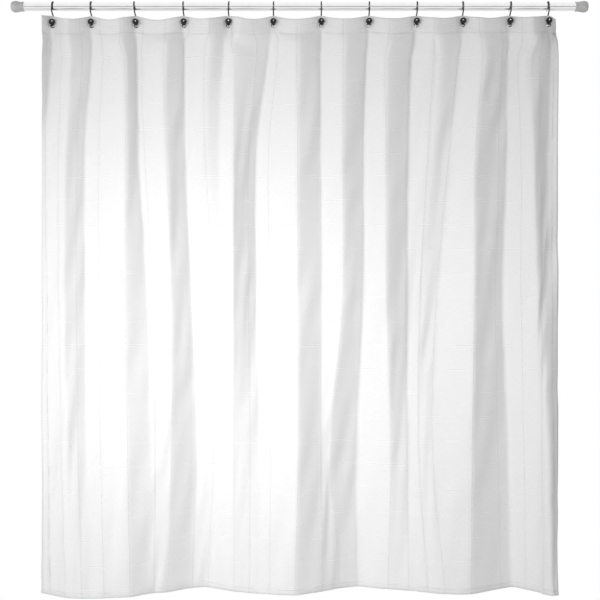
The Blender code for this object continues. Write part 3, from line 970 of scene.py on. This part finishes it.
    def bow(self, left: float, right: float, ridge: float, depth: float, x: np.ndarray) -> np.ndarray:
        """The header's line between two hooks: straight faces, a ridge, and a fuller face after it.

        Args:
            left: Where the left hook is.
            right: Where the right hook is.
            ridge: How far across the bay the ridge lies, from 0 to 1.
            depth: How far forward it comes.
            x: The places to work out.

        Returns:
            How far the cloth stands in front of the hooks at each place.
        """
        ridge_x = left + (right - left) * ridge
        legs = [
            depth * self.softened(away) / self.softened(np.array(span))
            for away, span in ((x - left, ridge_x - left), (right - x, right - ridge_x))
        ]
        blunt = self.ridge_bluntness
        faces = -blunt * np.log(np.exp(-legs[0] / blunt) + np.exp(-legs[1] / blunt))
        after = np.clip((x - ridge_x) / (right - ridge_x), 0, 1)
        return np.maximum(faces, 0) + self.bellies[0] * np.sin(math.pi * after)

    def softened(self, away: np.ndarray) -> np.ndarray:
        """A ramp that starts softly at a hook and runs straight beyond it."""
        half = self.valley_half
        return 0.5 * ((away - half) + np.hypot(away - half, half) - (math.sqrt(2) - 1) * half)

    def bow_depths(self) -> list[float]:
        """How deep the cloth bows in each bay, so that its length fits between two eyelets."""
        depths = []
        for left, right, ridge in zip(HOOKS, HOOKS[1:], self.ridge_shares):
            x = np.linspace(left, right, 200)
            low, high = 0.0, self.deepest_bow
            for _ in range(24):
                depth = (low + high) / 2
                length = np.hypot(np.diff(self.bow(left, right, ridge, depth, x)), x[1] - x[0]).sum()
                low, high = (depth, high) if length < self.eyelet_pitch else (low, depth)
            depths.append(low)
        return depths

    def header_line(self) -> tuple[np.ndarray, np.ndarray]:
        """The header's line over the rod's length, sampled like the folds below it.

        Returns:
            Points (x, y) and their places in the flat cloth.
        """
        nodes, cuts = [self.ends[0]], [0.0]
        for left, right, cut, ridge in zip(HOOKS, HOOKS[1:], self.eyelet_cuts, self.ridge_shares):
            nodes += [left, left + (right - left) * ridge]
            cuts += [cut, cut + self.eyelet_pitch * ridge]
        nodes += [HOOKS[-1], self.ends[1]]
        cuts += [self.eyelet_cuts[-1], self.width]
        steps = np.arange(self.segment_samples) / self.segment_samples
        x = np.concatenate([a + (b - a) * steps for a, b in zip(nodes, nodes[1:])] + [[nodes[-1]]])
        y = np.zeros_like(x)
        for left, right, ridge, depth in zip(HOOKS, HOOKS[1:], self.ridge_shares, self.bow_depths()):
            inside = (x > left) & (x < right)
            y[inside] = -self.bow(left, right, ridge, depth, x[inside])
        for slope, beyond in zip(self.end_slopes, (HOOKS[0] - x, x - HOOKS[-1])):
            y += slope * np.where(beyond > 0, self.softened(np.maximum(beyond, 0)), 0.0)
        line = np.stack([x, y], 1)
        return line, self.cut_places(line, np.array(cuts))

    def cut_places(self, line: np.ndarray, cuts: np.ndarray) -> np.ndarray:
        """Spreads the flat cloth between fold lines evenly along the hanging line.

        Args:
            line: The hanging line's points.
            cuts: The fold lines' places in the flat cloth.

        Returns:
            Each point's place in the flat cloth.
        """
        travelled = np.concatenate([[0.0], np.cumsum(np.linalg.norm(np.diff(line, axis=0), axis=1))])
        marks = travelled[:: self.segment_samples]
        return np.interp(travelled, marks, cuts)

    def fold_line(self, drop: int) -> tuple[np.ndarray, np.ndarray]:
        """The cloth's line at one drop: flat faces between fold lines, turned over each of them.

        Args:
            drop: Which of the drops below the header, from 1.

        Returns:
            Points (x, y) and their places in the flat cloth.
        """
        nodes = np.array([fold.hang[drop - 1] for fold in FOLDS], float) / 1000
        legs = np.diff(nodes, axis=0)
        spans = np.linalg.norm(legs, axis=1)
        ways = legs / spans[:, None]
        turns = np.array([fold.crease.value for fold in FOLDS]) * self.ease_scale[drop]
        turns[2:-1:2] *= self.ridge_ease[drop]
        line = []
        shares = np.arange(self.segment_samples) / self.segment_samples
        for k, span in enumerate(spans):
            for share in shares:
                line.append(self.turned_corner(nodes, ways, spans, turns, k, self.crowded(share) * span))
        line.append(nodes[-1])
        line = np.array(line)
        full = np.sin(math.pi * np.arange(self.segment_samples) / self.segment_samples)
        for k in range(2, len(nodes) - 2, 2):  # the face after each ridge is a little fuller
            face = slice(k * self.segment_samples, (k + 1) * self.segment_samples)
            line[face] += np.outer(full * self.bellies[drop], (ways[k][1], -ways[k][0]))
        return line, self.cut_places(line, np.array([fold.cut for fold in FOLDS]) / 1000)

    def crowded(self, share: float) -> float:
        """Crowds the samples towards both ends of a face, where it turns."""
        return share - self.crowding * math.sin(2 * math.pi * share)

    def turned_corner(
        self, nodes: np.ndarray, ways: np.ndarray, spans: np.ndarray, turns: np.ndarray, k: int, along: float
    ) -> np.ndarray:
        """A point on one face, eased into the turns at the face's two ends.

        Args:
            nodes: Where the fold lines hang.
            ways: The faces' directions.
            spans: The faces' widths.
            turns: How wide the turn at each fold line is.
            k: The face's number.
            along: How far the point is from the face's start.

        Returns:
            The point.
        """
        point = nodes[k] + ways[k] * along
        for node, distance, sign in ((k, along, 1.0), (k + 1, spans[k] - along, -1.0)):
            if node in (0, len(nodes) - 1):
                continue
            reach = min(turns[node], self.turn_limit * spans[node - 1], self.turn_limit * spans[node])
            if distance < reach:
                t = 0.5 + sign * distance / (2 * reach)
                before = nodes[node] - ways[node - 1] * reach
                after = nodes[node] + ways[node] * reach
                return (1 - t) ** 2 * before + 2 * t * (1 - t) * nodes[node] + t * t * after
        return point

    def hang(self, across: np.ndarray, down: np.ndarray) -> np.ndarray:
        """Works out where every point of the flat cloth hangs.

        Args:
            across: The columns' places across the flat cloth.
            down: The rows' places down it.

        Returns:
            An array of points, rows by columns.
        """
        header, header_cuts = self.header_line()
        lines, cuts = [header], [header_cuts]
        for drop in range(1, len(self.drops)):
            line, places = self.fold_line(drop)
            lines.append(line)
            cuts.append(places)
        knots = np.array(self.drops)
        lines, cuts = np.array(lines), np.array(cuts)
        surface = np.zeros((len(down), len(across), 3))
        for i, t in enumerate(down):
            line = self.between(knots, lines, t)
            places = self.steady(knots, cuts, t)
            x = np.interp(across, places, line[:, 0])
            y = np.interp(across, places, line[:, 1])
            if t < self.header:  # the eyelets hold the cloth flat round them
                away = np.min([np.hypot(across - cut, t - self.eyelet_drop) for cut in self.eyelet_cuts], axis=0)
                y = y * self.beyond(away, self.flattened)
            near_top = 1 - float(ease((t - self.drops[0]) / (self.drops[2] - self.drops[0])))
            z = self.top - t - self.dip(x) * (1 - float(ease(t / self.sag_reach)))
            y = y + np.minimum(-z, self.lean_reach) * np.tan(lean_at(x)) * near_top
            surface[i] = np.stack([x, y, z], 1)
        return self.crumple(surface, across, down)

    def dip(self, x: np.ndarray) -> np.ndarray:
        """How far the top edge dips at x, between the hooks and past the last ones."""
        along = (x - HOOKS[0]) / (HOOKS[-1] - HOOKS[0])
        sag = self.left_sag + (self.right_sag - self.left_sag) * np.clip(along, 0, 1)
        dip = sag * np.sin(math.pi * self.share_of_bay(x)) ** self.sag_fullness
        past_left = ease((HOOKS[0] - x) / self.droop_reach)
        past_right = ease((x - HOOKS[-1]) / self.droop_reach)
        return dip + (self.end_droops[0] * past_left + self.end_droops[1] * past_right)

    def beyond(self, away: np.ndarray, reach: tuple[float, float]) -> np.ndarray:
        """A smooth step from 0 to 1, away from an eyelet's centre.

        Args:
            away: The distance from the centre.
            reach: Where the step starts, and how wide it is.

        Returns:
            The step's height.
        """
        start, width = reach
        return ease((away - start) / width)

    def between(self, knots: np.ndarray, lines: np.ndarray, t: float) -> np.ndarray:
        """The cloth's line at one drop, on a smooth curve through the lines at the knots.

        Args:
            knots: The drops that have a line.
            lines: Those lines.
            t: The drop.

        Returns:
            The line's points.
        """
        if t <= knots[0]:
            return lines[0]
        k = min(int(np.searchsorted(knots, t)) - 1, len(knots) - 2)
        span = knots[k + 1] - knots[k]
        u = min(1.0, (t - knots[k]) / span)
        slopes = []
        for j in (k, k + 1):
            if j == 0:
                slopes.append(np.zeros_like(lines[0]))
            elif j == len(knots) - 1:
                slopes.append((lines[j] - lines[j - 1]) / (knots[j] - knots[j - 1]))
            else:
                slopes.append((lines[j + 1] - lines[j - 1]) / (knots[j + 1] - knots[j - 1]))
        h = (2 * u**3 - 3 * u**2 + 1, u**3 - 2 * u**2 + u, -2 * u**3 + 3 * u**2, u**3 - u**2)
        return h[0] * lines[k] + h[1] * span * slopes[0] + h[2] * lines[k + 1] + h[3] * span * slopes[1]

    def steady(self, knots: np.ndarray, cuts: np.ndarray, t: float) -> np.ndarray:
        """The samples' places in the flat cloth at one drop.

        Args:
            knots: The drops that have a line.
            cuts: The samples' places at each of them.
            t: The drop.

        Returns:
            The places.
        """
        k = int(np.clip(np.searchsorted(knots, t) - 1, 0, len(knots) - 2))
        u = float(ease((t - knots[k]) / (knots[k + 1] - knots[k])))
        return cuts[k] + (cuts[k + 1] - cuts[k]) * u

    def normals(self, surface: np.ndarray) -> np.ndarray:
        """Unit normals that point to the back of the cloth.

        Args:
            surface: Its points, rows by columns.

        Returns:
            A normal for each point.
        """
        along = np.gradient(surface, axis=1)
        drop = np.gradient(surface, axis=0)
        normal = np.cross(drop, along)
        return normal / np.linalg.norm(normal, axis=2, keepdims=True)

    def crumple(self, surface: np.ndarray, across: np.ndarray, down: np.ndarray) -> np.ndarray:
        """Adds the cloth's small movement: drag lines under the hooks, soft creases and puffed cells.

        Args:
            surface: The hanging points, rows by columns.
            across: The columns' places across the flat cloth.
            down: The rows' places down it.

        Returns:
            The moved points.
        """
        rng = np.random.default_rng(self.seed)
        s, t = np.meshgrid(across, down)
        cells = np.abs(np.sin(math.pi * s / CELL) * np.sin(math.pi * (t - self.header) / CELL))
        puff = cells**0.7 * self.puff
        soft = np.zeros_like(s)
        for _ in range(self.soft_creases):
            wide, tall = rng.uniform(0.05, 0.16), rng.uniform(0.12, 0.6)
            turn, tilt = rng.uniform(0, 2 * math.pi), rng.uniform(-0.5, 0.5)
            soft += np.sin(2 * math.pi * (s / wide + t * tilt / wide * 0.3 + t / tall) + turn) * rng.uniform(0.2, 0.5)
        soft *= self.soft_height * ease(t / 0.25)
        drag = np.zeros_like(s)
        for cut in self.eyelet_cuts:
            ds, dt = s - cut, t - self.eyelet_drop
            reach = np.hypot(ds, dt)
            spoke = np.arctan2(ds, np.maximum(dt, 0.0001))
            fade = np.exp(-reach / self.drag_reach) * self.beyond(reach, self.undragged)
            drag += np.sin(spoke * rng.integers(5, 8) + rng.uniform(0, 6)) * fade * self.drag_height
        lift = (-puff + soft + drag) * self.free_of_eyelets(s, t)
        return surface + self.normals(surface) * lift[:, :, None]

    def free_of_eyelets(self, s: np.ndarray, t: np.ndarray) -> np.ndarray:
        """How free each point is: 0 where the cloth is clamped in an eyelet, 1 away from it.

        Args:
            s: The points' places across the flat cloth.
            t: Their places down it.

        Returns:
            How free they are.
        """
        free = np.ones_like(s)
        for cut in self.eyelet_cuts:
            free = np.minimum(free, self.beyond(np.hypot(s - cut, t - self.eyelet_drop), self.clamped))
        return free

    # The sewing -------------------------------------------------------------------------------
    def sew(self, surface: np.ndarray, across: np.ndarray, down: np.ndarray) -> bpy.types.Object:
        """Makes the sheet with its hems turned to the back and its eyelet holes punched.

        Args:
            surface: The hanging points, rows by columns.
            across: The columns' places across the flat cloth.
            down: The rows' places down it.

        Returns:
            The sheet.
        """
        back = self.normals(surface)
        rows = self.with_turns(down, self.header, self.bottom_hem)
        cols = self.with_turns(across, self.side_hem, self.side_hem)
        surface = self.open_holes(surface, across, down)

        ri, ci = np.array([row.index for row in rows]), np.array([col.index for col in cols])
        row_turned = np.array([row.ply is not Ply.FACE for row in rows])[:, None]
        col_turned = np.array([col.ply is not Ply.FACE for col in cols])[None, :]
        edge = np.minimum(across, self.width - across)[ci][None, :]
        near_side = 1 - ease((edge - self.side_hem) / self.hem_step)
        plies = np.where(row_turned, np.where(col_turned, 2.0, 1.0 + 2.0 * near_side), np.where(col_turned, 1.0, 0.0))
        points = surface[ri][:, ci] + back[ri][:, ci] * ((plies - 0.5) * self.ply)[:, :, None]
        cut_down = self.cut_along(down, rows) - self.header
        cut_across = self.cut_along(across, cols)

        holes = self.hole_quads(across, down, rows, cols)
        count = len(cols)
        faces = [
            (r * count + c, (r + 1) * count + c, (r + 1) * count + c + 1, r * count + c + 1)
            for r in range(len(rows) - 1)
            for c in range(count - 1)
            if (r, c) not in holes
        ]
        material = COTTON.make(self.width, self.length, self.side_hem, self.header, self.bottom_hem)
        sheet = new_piece("cotton_panel", points.reshape(-1, 3), faces, material)
        grid = np.meshgrid(cut_across, cut_down), np.meshgrid(across[ci], down[ri])
        for name, (u, v) in zip(("cut", "made"), grid):
            self.write_uv(sheet.data, name, np.stack([u.ravel(), v.ravel()], 1))
        self.drop_loose(sheet.data)
        return sheet

    def with_turns(self, places: np.ndarray, first_hem: float, last_hem: float) -> list[GridLine]:
        """Lists the sheet's rows or columns, from the raw edge of one hem to that of the other.

        Args:
            places: The lines' places in the finished panel.
            first_hem: The depth of the hem at the start.
            last_hem: The depth of the hem at the end.

        Returns:
            The lines, in order.
        """
        first = np.where(places <= first_hem + 1e-6)[0][::-1]
        last = np.where(places >= places[-1] - last_hem - 1e-6)[0][::-1]
        lines = [GridLine(i, Ply.TURNED_FIRST) for i in first]
        lines += [GridLine(i, Ply.FACE) for i in range(len(places))]
        return lines + [GridLine(i, Ply.TURNED_LAST) for i in last]

    def cut_along(self, places: np.ndarray, lines: list[GridLine]) -> np.ndarray:
        """Works out where each row or column lies in the cloth before its hems are turned.

        Args:
            places: The lines' places in the finished panel.
            lines: The rows or the columns.

        Returns:
            Their places, which run past the panel's edges in the hems.
        """
        unfolded = {
            Ply.TURNED_FIRST: lambda place: -place,
            Ply.FACE: lambda place: place,
            Ply.TURNED_LAST: lambda place: 2 * places[-1] - place,
        }
        return np.array([unfolded[line.ply](places[line.index]) for line in lines])

    def open_holes(self, surface: np.ndarray, across: np.ndarray, down: np.ndarray) -> np.ndarray:
        """Moves the eight points round each eyelet's centre onto its hole.

        Args:
            surface: The hanging points, rows by columns.
            across: The columns' places across the flat cloth.
            down: The rows' places down it.

        Returns:
            The points with the holes opened.
        """
        opened = surface.copy()
        i = int(np.argmin(np.abs(down - self.eyelet_drop)))
        for cut in self.eyelet_cuts:
            j = int(np.argmin(np.abs(across - cut)))
            centre = surface[i, j]
            for di in (-1, 0, 1):
                for dj in (-1, 0, 1):
                    if di or dj:
                        arm = surface[i + di, j + dj] - centre
                        opened[i + di, j + dj] = centre + arm / np.linalg.norm(arm) * self.eyelet_hole
        return opened

    def hole_quads(
        self, across: np.ndarray, down: np.ndarray, rows: list[GridLine], cols: list[GridLine]
    ) -> set[tuple[int, int]]:
        """The faces inside the eyelets' holes, in the front and in the turned header.

        Args:
            across: The columns' places across the flat cloth.
            down: The rows' places down it.
            rows: The sheet's rows.
            cols: The sheet's columns.

        Returns:
            The faces, as (row, column).
        """
        i = int(np.argmin(np.abs(down - self.eyelet_drop)))
        js = {int(np.argmin(np.abs(across - cut))) for cut in self.eyelet_cuts}
        row_at = [r for r, row in enumerate(rows) if row.index == i]
        col_at = [c for c, col in enumerate(cols) if col.index in js and col.ply is Ply.FACE]
        return {(r + a, c + b) for r in row_at for c in col_at for a in (-1, 0) for b in (-1, 0)}

    def write_uv(self, mesh: bpy.types.Mesh, name: str, places: np.ndarray) -> None:
        """Stores a flat-pattern layer on the sheet.

        Args:
            mesh: The sheet.
            name: The layer's name.
            places: Each point's place in the flat cloth.
        """
        corners = np.zeros(len(mesh.loops), np.int32)
        mesh.loops.foreach_get("vertex_index", corners)
        layer = mesh.uv_layers.new(name=name)
        layer.data.foreach_set("uv", places[corners].astype(np.float32).ravel())

    def drop_loose(self, mesh: bpy.types.Mesh) -> None:
        """Removes the points left in the middle of the holes."""
        shape = bmesh.new()
        shape.from_mesh(mesh)
        bmesh.ops.delete(shape, geom=[v for v in shape.verts if not v.link_faces], context="VERTS")
        shape.to_mesh(mesh)
        shape.free()


# Studio -----------------------------------------------------------------------------------------
@dataclass
class Studio:
    """A plain pale floor, soft lamps with grids, white surroundings, and a level camera."""

    eye: tuple[float, float, float] = (0.9157, -3.3, -0.9313)
    lens: float = 62.36
    floor_height: float = -2.0
    floor_edges: tuple[float, float, float, float] = (-2.2, 4.0, -4.2, 0.36)
    # the light from all round: its strength, where it comes from most, and its least and most there
    ambient: float = 0.57
    lighter_side: tuple[float, float, float] = (-0.75, -0.55, -0.37)
    ambient_range: tuple[float, float] = (0.55, 1.38)
    # what shiny pieces mirror, from straight down (0) to straight up (1): white, with a dark band
    # just below the horizon that the rod shows as a thin line
    mirrored_ends: tuple[float, float] = (0.75, 1.0)
    mirrored_room: tuple[tuple[float, float], ...] = (
        (0.28, 0.98),
        (0.385, 0.97),
        (0.41, 0.02),
        (0.50, 0.02),
        (0.53, 0.99),
        (0.80, 1.0),
    )
    mirrored_strength: float = 0.95

    def build(self) -> None:
        """Builds the floor, the lights, the surroundings and the camera."""
        self.floor()
        self.lights()
        self.surroundings()
        self.camera()

    def floor(self) -> None:
        """A pale floor under the curtain."""
        g = Graph("pale_floor")
        g.shader.inputs["Base Color"].default_value = (0.86, 0.86, 0.86, 1.0)
        g.shader.inputs["Roughness"].default_value = 0.8
        z = self.floor_height
        left, right, front, back = self.floor_edges
        points = [(left, front, z), (right, front, z), (right, back, z), (left, back, z)]
        floor = new_piece("floor", points, [(0, 1, 2, 3)], g.material)
        floor.visible_glossy = False

    def lights(self) -> None:
        """Four soft boxes with grids, and a fifth that only glints on the hooks."""
        cool, warm, white = (0.965, 0.965, 1.0), (1.0, 1.0, 0.985), (1.0, 1.0, 1.0)
        self.soft_box("key", (-1.6, -2.4, -0.7), (0.75, 0.0, -1.20), (0.6, 0.9), 5.35, 68, cool)
        self.soft_box("front", (0.25, -1.9, -1.0), (0.75, 0.0, -1.04), (0.6, 0.8), 4.7, 90, warm, mirrored=False)
        self.soft_box("fill", (3.0, -2.2, -1.7), (1.2, 0.0, -1.5), (1.0, 1.0), 2.0, 80, white, mirrored=False)
        self.soft_box("rear", (2.6, 2.7, -0.2), (0.9, 0.0, -1.0), (1.2, 1.2), 6.0, 80, white, mirrored=False)
        glint = self.soft_box("glint", (1.1, -2.7, 0.7), (0.9, 0.0, -0.05), (1.2, 0.8), 190.0, 180, white)
        shiny = bpy.data.collections.new("pieces_with_a_glint")
        for piece in bpy.context.scene.objects:
            if piece.name.startswith(("s_hook", "end_ball", "set_eyelet")):
                shiny.objects.link(piece)
        glint.light_linking.receiver_collection = shiny

    def soft_box(
        self,
        name: str,
        at: tuple[float, float, float],
        to: tuple[float, float, float],
        size: tuple[float, float],
        watts: float,
        spread: float,
        colour: tuple[float, float, float],
        mirrored: bool = True,
    ) -> bpy.types.Object:
        """Adds one area light.

        Args:
            name: Its name.
            at: Where it stands.
            to: What it points at.
            size: Its width and height.
            watts: Its power.
            spread: The angle its grid lets out, in degrees.
            colour: The colour of its light.
            mirrored: Whether shiny pieces show its reflection.

        Returns:
            The lamp.
        """
        lamp = bpy.data.lights.new(name, "AREA")
        lamp.shape = "RECTANGLE"
        lamp.size, lamp.size_y = size
        lamp.energy = watts
        lamp.spread = math.radians(spread)
        lamp.color = colour
        thing = bpy.data.objects.new(name, lamp)
        thing.location = at
        thing.visible_glossy = mirrored
        thing.rotation_euler = (Vector(to) - Vector(at)).to_track_quat("-Z", "Y").to_euler()
        bpy.context.collection.objects.link(thing)
        return thing

    def surroundings(self) -> None:
        """White surroundings that light the cloth softly and stay clean behind it."""
        world = bpy.data.worlds.new("white_studio")
        bpy.context.scene.world = world
        world.use_nodes = True
        nodes, links = world.node_tree.nodes, world.node_tree.links
        seen = nodes["Background"]
        seen.inputs["Color"].default_value = (1.0, 1.0, 1.0, 1.0)
        seen.inputs["Strength"].default_value = 1.0
        glossy, soft = nodes.new("ShaderNodeBackground"), nodes.new("ShaderNodeBackground")
        soft.inputs["Color"].default_value = (0.992, 0.99, 1.0, 1.0)
        where = nodes.new("ShaderNodeTexCoord")
        facing, even = nodes.new("ShaderNodeVectorMath"), nodes.new("ShaderNodeMapRange")
        facing.operation = "DOT_PRODUCT"
        links.new(where.outputs["Generated"], facing.inputs[0])
        facing.inputs[1].default_value = self.lighter_side
        links.new(facing.outputs["Value"], even.inputs[0])
        least, most = (share * self.ambient for share in self.ambient_range)
        for socket, value in zip(even.inputs[1:], (-1.0, 1.0, least, most)):
            socket.default_value = value
        links.new(even.outputs[0], soft.inputs["Strength"])
        split = nodes.new("ShaderNodeSeparateXYZ")
        links.new(where.outputs["Generated"], split.inputs[0])
        tone = nodes.new("ShaderNodeValToRGB")
        stops = tone.color_ramp.elements
        for stop, position, level in zip(stops, (0.0, 1.0), self.mirrored_ends):
            stop.position, stop.color = position, (level, level, level, 1.0)
        for position, level in self.mirrored_room:
            stops.new(position).color = (level, level, level, 1.0)
        height = nodes.new("ShaderNodeMapRange")
        links.new(split.outputs[2], height.inputs[0])
        for socket, value in zip(height.inputs[1:], (-1.0, 1.0, 0.0, 1.0)):
            socket.default_value = value
        links.new(height.outputs[0], tone.inputs[0])
        links.new(tone.outputs[0], glossy.inputs["Color"])
        glossy.inputs["Strength"].default_value = self.mirrored_strength
        ray = nodes.new("ShaderNodeLightPath")
        lit, mix = nodes.new("ShaderNodeMixShader"), nodes.new("ShaderNodeMixShader")
        links.new(ray.outputs["Is Glossy Ray"], lit.inputs[0])
        links.new(soft.outputs[0], lit.inputs[1])
        links.new(glossy.outputs[0], lit.inputs[2])
        links.new(ray.outputs["Is Camera Ray"], mix.inputs[0])
        links.new(lit.outputs[0], mix.inputs[1])
        links.new(seen.outputs[0], mix.inputs[2])
        links.new(mix.outputs[0], nodes["World Output"].inputs[0])

    def camera(self) -> None:
        """A level camera square to the curtain."""
        lens = bpy.data.cameras.new("camera")
        lens.lens = self.lens
        lens.sensor_width = 36.0
        lens.dof.use_dof = False
        thing = bpy.data.objects.new("camera", lens)
        thing.location = self.eye
        thing.rotation_euler = (math.pi / 2, 0.0, 0.0)
        bpy.context.collection.objects.link(thing)
        bpy.context.scene.camera = thing
        bpy.context.scene.view_settings.view_transform = "Standard"


def main() -> None:
    """Builds the rod, the hooks, the panel and the studio, in that order."""
    logging.basicConfig(level=logging.INFO, format="%(message)s")
    TensionRod().build()
    BallHooks().build()
    Panel().build()
    Studio().build()


if __name__ == "__main__":
    main()
